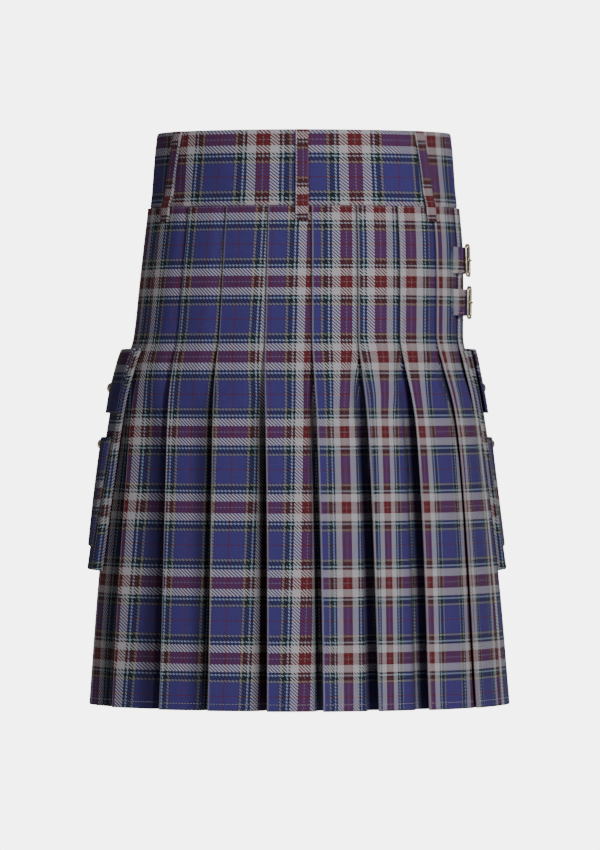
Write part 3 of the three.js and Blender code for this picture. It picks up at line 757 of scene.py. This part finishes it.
def loop_out(angle, z):
    """A loop lies on the band, slack in its middle, and steps onto the pleats below the seam."""
    in_front = abs(angle) > BAND_JOIN
    on_band = (over_band_out(-abs(angle)) if in_front else WAIST_CLOTH / 2) + WAIST_CLOTH / 2
    on_pleats = on_band if in_front else fold_lift(z) + PLY / 2 + LOOP_FOOT_LIFT
    under = mix(on_band, on_pleats, float(smooth((LOOP_STEPS_FROM - z) / LOOP_STEPS_OVER)))
    slack = LOOP_SLACK * math.sin(math.pi * min(1, max(0, (WAIST_TOP - z) / LOOP_SLACK_LENGTH)))
    return under + slack + SEAM_GAP + LOOP_CLOTH


for loop in LOOPS:
    across = np.linspace(-LOOP_WIDTH / 2, LOOP_WIDTH / 2, 11)
    arched = LOOP_ARCH * (1 - (across / (LOOP_WIDTH / 2)) ** 4) - LOOP_ARCH
    face, threads = [], []
    for z in np.linspace(WAIST_TOP, LOOP_FOOT, 49):
        middle = mix(loop["top"], loop["foot"], (WAIST_TOP - z) / (WAIST_TOP - LOOP_FOOT))
        angles = middle + across / metres_per_degree(middle, z)
        face.append(place(angles, z, loop_out(middle, z) + arched))
        red = (across - loop["red_at"]) / THREAD + FULL_SETT / 2
        threads.append(thread_row(red, LOOP_RED_PIVOT_Z - z))
    # Painted highlight along both long edges of each loop.
    painted_light_values = LOOP_PAINTED_HIGHLIGHT * (np.abs(across) / (LOOP_WIDTH / 2)) ** 12
    strip = cloth_mesh("shown_belt_loop_" + loop["name"], face, threads, LOOP_CLOTH, painted_light_values)
    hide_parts("belt_loop_" + loop["name"])


# The hip straps and buckle tabs: strips of the cloth, 28 mm wide, with their edges stitched.
# The tabs are sewn to the pleats and hold the buckles. The straps come from the over apron's edge.
FASTENINGS = table(("name", "z", "stand"), [("upper", -0.096, 0.0084), ("lower", -0.141, 0.0096)])
STRAP_HEIGHT = 0.028
STRAP_CLOTH = 0.0014
STRAP_END = 140
TAB_OUT = 0.0054
TAB_END = 66
TAB_CORNER = 0.005
TAB_END_THREAD = 40
STRAP_END_THREAD = 6.0
BAR_AT = 76.8
FRAME_RISE = 0.0020
FRAME_FROM = 78.2
FRAME_TO = 85.1
SETTLE = {"from": 92, "over": 34}
BUCKLE_RIM = 0.0034


def hip_strip(name, z, start, end, rounded, out_at, stand):
    """A strip across the hip at height z, with its rear corners rounded or cut square."""
    angles = np.linspace(start, end, int(abs(end - start) * 1.5) + 8)
    if rounded:
        angles = np.concatenate([start + np.linspace(0, 2.2, 9), angles[angles > start + 2.4]])
    inset = (angles - start) * metres_per_degree(start, z)
    half = np.full(len(angles), STRAP_HEIGHT / 2)
    if rounded:
        near = np.clip(TAB_CORNER - inset, 0, TAB_CORNER)
        half = STRAP_HEIGHT / 2 - TAB_CORNER + np.sqrt(TAB_CORNER ** 2 - near ** 2)
    face, threads = [], []
    for share in np.linspace(1, -1, 15):
        heights = z + share * half
        rounding = -0.0005 * abs(share) ** 8
        row = place(angles, z, out_at(angles, stand) + STRAP_CLOTH / 2 + rounding)
        row[:, 2] = heights
        face.append(row)
        across = inset / SETT_THREAD_ACROSS + (TAB_END_THREAD if rounded else STRAP_END_THREAD)
        threads.append(thread_row(across, PLEAT_RED_PIVOT_Z - heights))
    return cloth_mesh(name, face, threads, STRAP_CLOTH)


def strap_out(angle, stand):
    """A strap runs over the bar, up into the frame, and settles on the apron past the hip."""
    on_apron = float(over_apron_out(-180)) + PLY / 2 + SEAM_GAP + STRAP_CLOTH / 2
    in_frame = FRAME_RISE * smooth((angle - FRAME_FROM) / 1.5) * smooth((FRAME_TO - angle) / 1.8)
    return mix(stand, on_apron, smooth((angle - SETTLE["from"]) / SETTLE["over"])) + in_frame


def tab_out(angle, stand):
    return mix(TAB_OUT, stand, smooth((angle - TAB_END - 1) / 8))


# Stitches: one short run of pale thread after another, each sunk a little at its ends.
STITCH = 0.0024
STITCH_GAP = 0.0009
STITCH_RADIUS = 0.00022
STITCH_SIDES = 6
STITCH_RINGS = [(0.0, 0.35, -0.6), (0.15, 0.9, 0.3), (0.5, 1.0, 0.7), (0.85, 0.9, 0.3), (1.0, 0.35, -0.6)]


def speckled(name, scale, detail, stops, roughness):
    """A material whose colour wanders between two, with its noise and the place that drives it."""
    material = bpy.data.materials.new(name)
    material.use_nodes = True
    tree = material.node_tree
    surface = tree.nodes["Principled BSDF"]
    spot = wire(tree, "ShaderNodeTexCoord").outputs["Object"]
    noise = wire(tree, "ShaderNodeTexNoise", Vector=spot, Scale=scale, Detail=detail).outputs["Fac"]
    tint = wire(tree, "ShaderNodeValToRGB", Fac=noise)
    for stop, (position, colour) in zip(tint.color_ramp.elements, stops):
        stop.position = position
        stop.color = (*colour, 1)
    tree.links.new(tint.outputs["Color"], surface.inputs["Base Color"])
    surface.inputs["Roughness"].default_value = roughness
    return material, noise, spot


THREAD_TINTS = [(0, (0.188, 0.175, 0.162)), (1, (0.552, 0.515, 0.468))]
thread_material = speckled("pale_sewing_thread", 900.0, 1.0, THREAD_TINTS, 0.6)[0]


def tube_faces(rings, sides, closed=False):
    """Faces of a tube made of rings of points. Its ends are capped unless it closes on itself."""
    grid = np.arange(rings * sides).reshape(rings, sides)
    these, following = (grid, np.roll(grid, -1, axis=0)) if closed else (grid[:-1], grid[1:])
    corners = [these, np.roll(these, -1, axis=1), np.roll(following, -1, axis=1), following]
    faces = np.stack(corners, axis=-1).reshape(-1, 4).tolist()
    return faces if closed else faces + [grid[0, ::-1].tolist(), grid[-1].tolist()]


def stitch_rows(name, rows):
    """Stitches along lines of points on the cloth, each line with the ways out of the cloth."""
    shares, widths, rises = np.array(STITCH_RINGS).T
    turns = np.linspace(0, 2 * math.pi, STITCH_SIDES, endpoint=False)[:, None]
    stitches = []
    for line, ways in rows:
        length = arc_lengths(line)
        numbers = np.arange(length[-1] // (STITCH + STITCH_GAP))[:, None]
        at = (numbers + 0.5) * (STITCH + STITCH_GAP) - STITCH / 2 + shares * STITCH
        centre, ahead, way = (
            np.stack([np.interp(spots, length, values[:, axis]) for axis in range(3)], axis=-1)
            for spots, values in ((at, line), (at + 1e-4, line), (at, ways))
        )
        way = unit(way)
        side = np.cross(unit(ahead - centre), way)
        centre = centre + way * (STITCH_RADIUS * rises)[:, None]
        spokes = side[:, :, None] * np.cos(turns) + way[:, :, None] * np.sin(turns)
        stitches.append(centre[:, :, None] + spokes * (STITCH_RADIUS * widths)[:, None, None])
    points = np.concatenate(stitches).reshape(-1, 3)
    one = tube_faces(len(STITCH_RINGS), STITCH_SIDES)
    bases = range(0, len(points), len(STITCH_RINGS) * STITCH_SIDES)
    faces = [[base + corner for corner in face] for base in bases for face in one]
    return add_piece(name, points.tolist(), faces, thread_material)


def on_cloth(angles, heights, out_at):
    """Points on a surface of the garment with the ways straight out of it."""
    points, ways = [], []
    for angle, z in zip(angles, heights):
        out = out_at(angle, z)
        here = place(np.array([angle - 0.3, angle, angle + 0.3]), z, out)
        above = place(np.array([angle]), z + 0.001, out_at(angle, z + 0.001))[0]
        below = place(np.array([angle]), z - 0.001, out_at(angle, z - 0.001))[0]
        way = np.cross(below - above, here[2] - here[0])
        points.append(here[1])
        ways.append(unit(way))
    return np.array(points), np.array(ways)


def seam(angles, heights, count, out_at):
    """A straight line of stitching from one angle and height to another."""
    return on_cloth(np.linspace(*angles, count), np.linspace(*heights, count), out_at)


STITCH_INSET = 0.0028
for fastening in FASTENINGS:
    name, z, stand = fastening["name"], fastening["z"], fastening["stand"]
    clear = (BUCKLE_RIM / 2 + SEAM_GAP) / metres_per_degree(BAR_AT, z)
    tab = hip_strip("shown_buckle_tab_" + name, z, TAB_END, BAR_AT - clear, True, tab_out, stand)
    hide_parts("buckle_tab_" + name)
    strap = hip_strip("shown_hip_strap_" + name, z, BAR_AT + clear, STRAP_END, False, strap_out, stand)
    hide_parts("hip_strap_" + name)
    rows = []
    reach = STRAP_HEIGHT / 2 - STITCH_INSET
    runs = [
        (tab_out, (TAB_END + 1.2, BAR_AT - clear), (TAB_END + 1.2, TAB_END + 5.5)),
        (strap_out, (BAR_AT + clear, STRAP_END - 1), (STRAP_END - 1.4, STRAP_END - 9)),
    ]
    for out_at, along, ends in runs:
        surface = lambda angle, level, out_at=out_at: float(out_at(angle, stand)) + STRAP_CLOTH / 2
        rows += [seam(along, (height, height), 50, surface) for height in (z + reach, z - reach)]
        rows += [seam((angle, angle), (z + reach, z - reach), 12, surface) for angle in ends]
    stitch_rows("stitches_hip_strap_" + name, rows)


# The cargo pockets: on each hip a bellows bag with a gusset, a flap over its mouth that a press
# stud closes, and a smaller patch pocket low on the bag with a press stud under its mouth.
POCKET_TOP = -0.1905
POCKET_FOOT = -0.4275
FLAP_FOOT = -0.259
PATCH_TOP = -0.285
BEHIND_PATCH = -0.300
PATCH_FOOT = -0.402
PATCH_INSET = 3.5
PATCH_CROWN = 0.0008
POCKET_CLOTH = 0.0012
FLAP_CLOTH = 0.0018
FLAP_AIR = 0.0024
FLAP_SEAM_LIFT = 0.0008
SIDE_DRAFT = 0.0015
EDGE_ROUND = 0.0016
SEAM_INSET = 1.1
FLAP_OVERHANG = 0.6
# Painted shade over all the pockets' cloth: bags, patches and flaps.
POCKET_PAINTED_SHADE = 0.28
FLAP_STUD_Z = -0.232
PATCH_STUD_Z = -0.2925

# How thick each bag is at four heights, how far its patch pocket stands out, and where its edges are.
POCKETS = table((
    "name", "side", "top", "flap", "patch", "foot", "patch_top", "patch_foot",
    "rear_top", "rear_foot", "front_top", "front_foot", "stud_shift",
), [
    ("left", -1, 0.0054, 0.0048, 0.0064, 0.0113, 0.0052, 0.0026, 68, 76, 116, 120, 0),
    ("right", 1, 0.0072, 0.0038, 0.0042, 0.0082, 0.0046, 0.0018, 80, 83, 124, 124, -6),
])
# The thread of the sett at each piece's rear edge, and the height of the middle of a red.
BAG_SETT = {"red_z": -0.2055, "rear_thread": 90}
PATCH_SETT = {"red_z": -0.345, "rear_thread": 110}
FLAP_SETT = {"red_z": -0.196, "rear_thread": 118}


def skirt_out(z):
    return fold_lift(z) + PLY / 2 + SEAM_GAP


def bag_out(pocket, z):
    heights = {"top": POCKET_TOP, "flap": FLAP_FOOT, "patch": BEHIND_PATCH, "foot": POCKET_FOOT}
    thickness = [{"z": height, "thick": pocket[key]} for key, height in heights.items()]
    return skirt_out(z) + column(thickness, "thick", z)


def pocket_edges(pocket, z, inset=0.0):
    share = (POCKET_TOP - z) / (POCKET_TOP - POCKET_FOOT)
    rear = mix(pocket["rear_top"], pocket["rear_foot"], share)
    front = mix(pocket["front_top"], pocket["front_foot"], share)
    return rear + inset, front - inset


def edge_profile(thick):
    """From a pocket's foot up its gusset and round onto its face: steps in from the edge, and heights."""
    round_off = min(EDGE_ROUND, thick * 0.45)
    shares = (0, 0.25, 0.5, 0.75, 1)
    steps = [-SIDE_DRAFT + share * SIDE_DRAFT * 0.8 for share in shares]
    heights = [share * (thick - round_off) for share in shares]
    for turn in (22, 45, 68, 90):
        steps.append(-SIDE_DRAFT * 0.2 + round_off * (1 - math.cos(math.radians(turn))))
        heights.append(thick - round_off + round_off * math.sin(math.radians(turn)))
    return np.array(steps), np.array(heights)


def pocket_row(side, angles, z, outs, down, sett):
    """One row of points on a hip, with its thread numbers counted from the pocket's rear edge."""
    row = place(side * angles[::side], z, outs[::side])
    length = arc_lengths(row)
    from_rear = length if side > 0 else length[-1] - length
    return row, thread_row(from_rear / THREAD + sett["rear_thread"], down)


def pocket_tray(name, pocket, top, foot, inset, face_out, foot_out, crown, sett):
    """A bag or patch pocket as one shell: its face, and a gusset round its sides and its foot."""
    levels = [(z, None) for z in np.linspace(top, foot + SIDE_DRAFT + EDGE_ROUND, 34)]
    bottom_steps, bottom_heights = edge_profile(face_out(foot) - foot_out(foot))
    for step, height in zip(bottom_steps[::-1], bottom_heights[::-1]):
        levels.append((foot + SIDE_DRAFT + step, height))
    face, threads = [], []
    for z, cap in levels:
        rear, front = pocket_edges(pocket, z, inset)
        degree = 1 / metres_per_degree(pocket["side"] * (rear + front) / 2, z)
        thick = face_out(z) - foot_out(z)
        steps, heights = edge_profile(thick)
        inner = np.linspace(rear + steps[-1] * degree, front - steps[-1] * degree, 40)[1:-1]
        angles = np.concatenate([rear + steps * degree, inner, (front - steps * degree)[::-1]])
        rises = np.concatenate([heights, np.full(len(inner), thick), heights[::-1]])
        across = (angles - rear) / (front - rear)
        down = np.clip((top - z) / (top - foot), 0, 1)
        arch = np.clip(np.sin(math.pi * np.clip(across, 0, 1)), 0, 1) * math.sin(math.pi * down)
        rises = rises + crown * arch
        if cap is not None:
            rises = np.minimum(rises, cap)
        row = pocket_row(pocket["side"], angles, z, foot_out(z) + rises, sett["red_z"] - z, sett)
        face.append(row[0])
        threads.append(row[1])
    # The whole shell gets painted shade.
    return cloth_mesh(name, face, threads, POCKET_CLOTH * 0.8, -POCKET_PAINTED_SHADE)


def patch_out(pocket, z):
    share = (PATCH_TOP - z) / (PATCH_TOP - PATCH_FOOT)
    return bag_out(pocket, z) + mix(pocket["patch_top"], pocket["patch_foot"], share)


def flap_out(pocket, z):
    return bag_out(pocket, z) + FLAP_AIR + FLAP_CLOTH


def pocket_flap(name, pocket, sett):
    """A flap that comes out from its seam over the bag's top, turns down and curls a little."""
    rows = []
    seam_out = skirt_out(POCKET_TOP) + FLAP_SEAM_LIFT
    turn_out = flap_out(pocket, POCKET_TOP) - EDGE_ROUND
    for share in np.linspace(0, 1, 8):
        rows.append((POCKET_TOP + 0.0004 * (1 - share), mix(seam_out, turn_out, share)))
    for turn in (30, 60, 90):
        drop = EDGE_ROUND * (1 - math.cos(math.radians(turn)))
        rows.append((POCKET_TOP - drop, turn_out + EDGE_ROUND * math.sin(math.radians(turn))))
    for z in np.linspace(POCKET_TOP - EDGE_ROUND - 0.002, FLAP_FOOT, 26):
        rows.append((z, flap_out(pocket, z)))
    face, threads = [], []
    for z, out in rows:
        rear, front = pocket_edges(pocket, z)
        angles = np.linspace(rear - FLAP_OVERHANG, front + FLAP_OVERHANG, 60)
        across = (angles - rear) / (front - rear)
        low = smooth((POCKET_TOP - z) / (POCKET_TOP - FLAP_FOOT))
        curl = 0.0009 * low * (2 * across - 1) ** 2 + 0.0005 * low * np.sin(across * 9 + pocket["side"])
        down = sett["red_z"] - z - 0.5 * (out - rows[0][1])
        row = pocket_row(pocket["side"], angles, z, out + curl, down, sett)
        face.append(row[0])
        threads.append(row[1])
    # The whole flap gets painted shade.
    return cloth_mesh(name, face, threads, FLAP_CLOTH - 0.0004, -POCKET_PAINTED_SHADE)


for pocket in POCKETS:
    name, side = "pocket_" + pocket["name"], pocket["side"]
    bag_face = lambda z, pocket=pocket: bag_out(pocket, z)
    patch_face = lambda z, pocket=pocket: patch_out(pocket, z)
    patch_seam = lambda z, pocket=pocket: bag_out(pocket, z) + SEAM_GAP
    mouth = POCKET_TOP - FLAP_CLOTH - SEAM_GAP
    bag_name = "shown_" + name + "_bag"
    bag = pocket_tray(bag_name, pocket, mouth, POCKET_FOOT, 0, bag_face, skirt_out, 0, BAG_SETT)
    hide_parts(name + "_bag")
    patch = pocket_tray("shown_" + name + "_patch", pocket, PATCH_TOP, PATCH_FOOT, PATCH_INSET, patch_face,
                        patch_seam, PATCH_CROWN, PATCH_SETT)
    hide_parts(name + "_patch")
    flap = pocket_flap("shown_" + name + "_flap", pocket, FLAP_SETT)
    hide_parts(name + "_flap")
    flap_face = lambda z, pocket=pocket: flap_out(pocket, z)
    rows = []
    runs = [
        (mouth - 0.003, POCKET_FOOT + 0.005, 60, 0, bag_face),
        (PATCH_TOP - 0.004, PATCH_FOOT + 0.004, 40, PATCH_INSET, patch_face),
        (POCKET_TOP - 0.004, FLAP_FOOT + STITCH_INSET, 24, -FLAP_OVERHANG, flap_face),
    ]
    for top, foot, count, inset, out_at in runs:
        surface = lambda angle, z, out_at=out_at: out_at(z)
        above = side * np.array(pocket_edges(pocket, top, inset + SEAM_INSET))
        below = side * np.array(pocket_edges(pocket, foot, inset + SEAM_INSET))
        rows += [seam((above[edge], below[edge]), (top, foot), count, surface) for edge in (0, 1)]
        rows.append(seam(below, (foot, foot), 50, surface))
    stitch_rows("stitches_" + name, rows)


# The metal: buckle frames cast in brass and polished, each with a bar for its prong, and the
# press studs, pressed from brass sheet, that close the pockets.
BUCKLE_HEIGHT = 0.036
BUCKLE_AT = 81.5
BUCKLE_LENGTH = 0.024
BUCKLE_THICK = 0.0026
PRONG_WIDTH = 0.0024
STUD_RADIUS = 0.0055
STUD_HEIGHT = 0.0032
STUD_SIDES = 40


BRASS_TINTS = [(0.3, (0.74, 0.56, 0.28)), (0.65, (0.94, 0.80, 0.50))]
BRASS_GLOSS = 0.22


def polished_brass():
    material, wear, spot = speckled("polished_brass", 260.0, 4.0, BRASS_TINTS, BRASS_GLOSS)
    tree = material.node_tree
    surface = tree.nodes["Principled BSDF"]
    tree.links.new(sums(tree, "MULTIPLY_ADD", wear, 0.20, BRASS_GLOSS), surface.inputs["Roughness"])
    scratches = wire(tree, "ShaderNodeTexNoise", Vector=spot, Scale=1500.0, Detail=2.0)
    bump = wire(tree, "ShaderNodeBump", Strength=0.12, Distance=0.00008, Height=scratches.outputs["Fac"])
    tree.links.new(bump.outputs[0], surface.inputs["Normal"])
    surface.inputs["Metallic"].default_value = 1.0
    return material


brass = polished_brass()


def stand_on_cloth(angle, z, out_at):
    """A place on the garment as a matrix: its own Z straight out, its own Y up."""
    points, ways = on_cloth([angle], [z], out_at)
    way = Vector(ways[0])
    up = (Vector((0, 0, 1)) - way * way.z).normalized()
    along = up.cross(way)
    turned = Matrix((along, up, way)).transposed().to_4x4()
    return Matrix.Translation(Vector(points[0])) @ turned


def metal_piece(name, points, faces, matrix, node):
    piece = add_piece(name, [tuple(matrix @ Vector(point)) for point in points], faces, brass)
    piece.data.set_sharp_from_angle(angle=math.radians(55))
    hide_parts(node)


def sweep(path, half_wide, half_thick, closed, sides=14):
    """A rounded bar along a path in its own plane, with a flat oval section."""
    count = len(path)
    points = []
    for k in range(count):
        before = path[(k - 1) % count] if closed or k else path[0]
        after = path[(k + 1) % count] if closed or k < count - 1 else path[-1]
        side = (Vector(after) - Vector(before)).cross(Vector((0, 0, 1))).normalized()
        taper = 1 if closed else min(1, 0.45 + 4 * min(k, count - 1 - k) / count)
        for turn in np.linspace(0, 2 * math.pi, sides, endpoint=False):
            offset = side * half_wide[k] * taper * math.cos(turn)
            offset += Vector((0, 0, half_thick * taper * math.sin(turn)))
            points.append(Vector(path[k]) + offset)
    return points, tube_faces(count, sides, closed)


def rounded_frame(length, height, corner, steps):
    path = []
    for quarter, (x, y) in enumerate(((1, 1), (-1, 1), (-1, -1), (1, -1))):
        for k in range(steps):
            turn = math.pi / 2 * (quarter + k / (steps - 1))
            centre_x, centre_y = x * (length / 2 - corner), y * (height / 2 - corner)
            path.append((centre_x + corner * math.cos(turn), centre_y + corner * math.sin(turn), 0))
    return path


for fastening in FASTENINGS:
    z = fastening["z"]
    over = fastening["stand"] + STRAP_CLOTH / 2 + SEAM_GAP
    spot = stand_on_cloth(BUCKLE_AT, z, lambda angle, level: over)
    half_rim = BUCKLE_RIM / 2
    half_thick = BUCKLE_THICK / 2
    outline = rounded_frame(BUCKLE_LENGTH - BUCKLE_RIM, BUCKLE_HEIGHT - BUCKLE_RIM, 0.0046, 9)
    widths = [half_rim * (0.72 if x < -0.25 * BUCKLE_LENGTH else 1.0) for x, y, _ in outline]
    outline = [(x, y, half_thick) for x, y, _ in outline]
    frame_part = sweep(outline, widths, half_thick, True)
    name = fastening["name"]
    metal_piece("shown_buckle_frame_" + name, *frame_part, spot, "buckle_frame_" + name)
    bar_x = -BUCKLE_LENGTH / 2 + half_rim
    lies_at = BUCKLE_THICK + SEAM_GAP + 0.0009
    prong_path, prong_widths = [], []
    for share in np.linspace(0, 1, 21):
        x = mix(bar_x - 0.0012, BUCKLE_LENGTH / 2 - 0.0002, share)
        dip = 0.0005 * math.sin(math.pi * share)
        prong_path.append((x, 0, lies_at - dip))
        prong_widths.append(PRONG_WIDTH / 2 * mix(1.15, 0.72, share))
    prong_part = sweep(prong_path, prong_widths, 0.0008, False)
    metal_piece("shown_buckle_prong_" + name, *prong_part, spot, "buckle_prong_" + name)

# Shares of a stud's radius and height, from its foot over its rim and dome.
STUD_PROFILE = [
    (0.93, 0.0), (1.0, 0.06), (1.0, 0.16), (0.95, 0.26), (0.86, 0.30), (0.80, 0.34), (0.76, 0.52),
    (0.66, 0.74), (0.50, 0.90), (0.30, 0.98),
]
for pocket in POCKETS:
    studs = [("flap", FLAP_STUD_Z, flap_out), ("patch", PATCH_STUD_Z, patch_out)]
    for place_name, z, out_at in studs:
        rear, front = pocket_edges(pocket, z)
        surface = lambda angle, level, out_at=out_at, pocket=pocket: out_at(pocket, level) + 0.0007
        middle = (rear + front) / 2 + pocket["stud_shift"]
        spot = stand_on_cloth(pocket["side"] * middle, z, surface)
        points = [(0, 0, 0)]
        for share, rise in STUD_PROFILE:
            for turn in np.linspace(0, 2 * math.pi, STUD_SIDES, endpoint=False):
                reach = share * STUD_RADIUS
                points.append((reach * math.cos(turn), reach * math.sin(turn), rise * STUD_HEIGHT))
        points.append((0, 0, STUD_HEIGHT))
        top = 1 + (len(STUD_PROFILE) - 1) * STUD_SIDES
        faces = [[1 + corner for corner in face] for face in tube_faces(len(STUD_PROFILE), STUD_SIDES)[:-2]]
        for j in range(STUD_SIDES):
            following = (j + 1) % STUD_SIDES
            faces.append((0, 1 + following, 1 + j))
            faces.append((top + j, top + following, len(points) - 1))
        node = "pocket_" + pocket["name"] + "_" + place_name + "_stud"
        metal_piece("shown_" + node, points, faces, spot, node)


# The hem stitching: the cloth's foot is turned up inside and caught with one row of thread.
HEM_STITCH_Z = HEM + 0.0073
rows = []
for index in range(len(FOLDS) - 1):
    angles, outs = pleat_panel(index, HEM_STITCH_Z)
    points = place(angles, HEM_STITCH_Z, outs + PLY / 2 + creased(angles, HEM_STITCH_Z))
    way = np.gradient(points, axis=0)
    rows.append((points, unit(np.stack([way[:, 1], -way[:, 0], np.zeros(len(way))], axis=1))))
over_surface = lambda angle, z: float(over_apron_out(angle)) + PLY + float(creased(angle, z))
rows.append(seam((OVER_EDGE + 1, -101), (HEM_STITCH_Z, HEM_STITCH_Z), 120, over_surface))
rows.append(seam((OVER_EDGE + 3, OVER_EDGE + 3), (-0.045, HEM + 0.006), 90, over_surface))
stitch_rows("stitches_hem", rows)
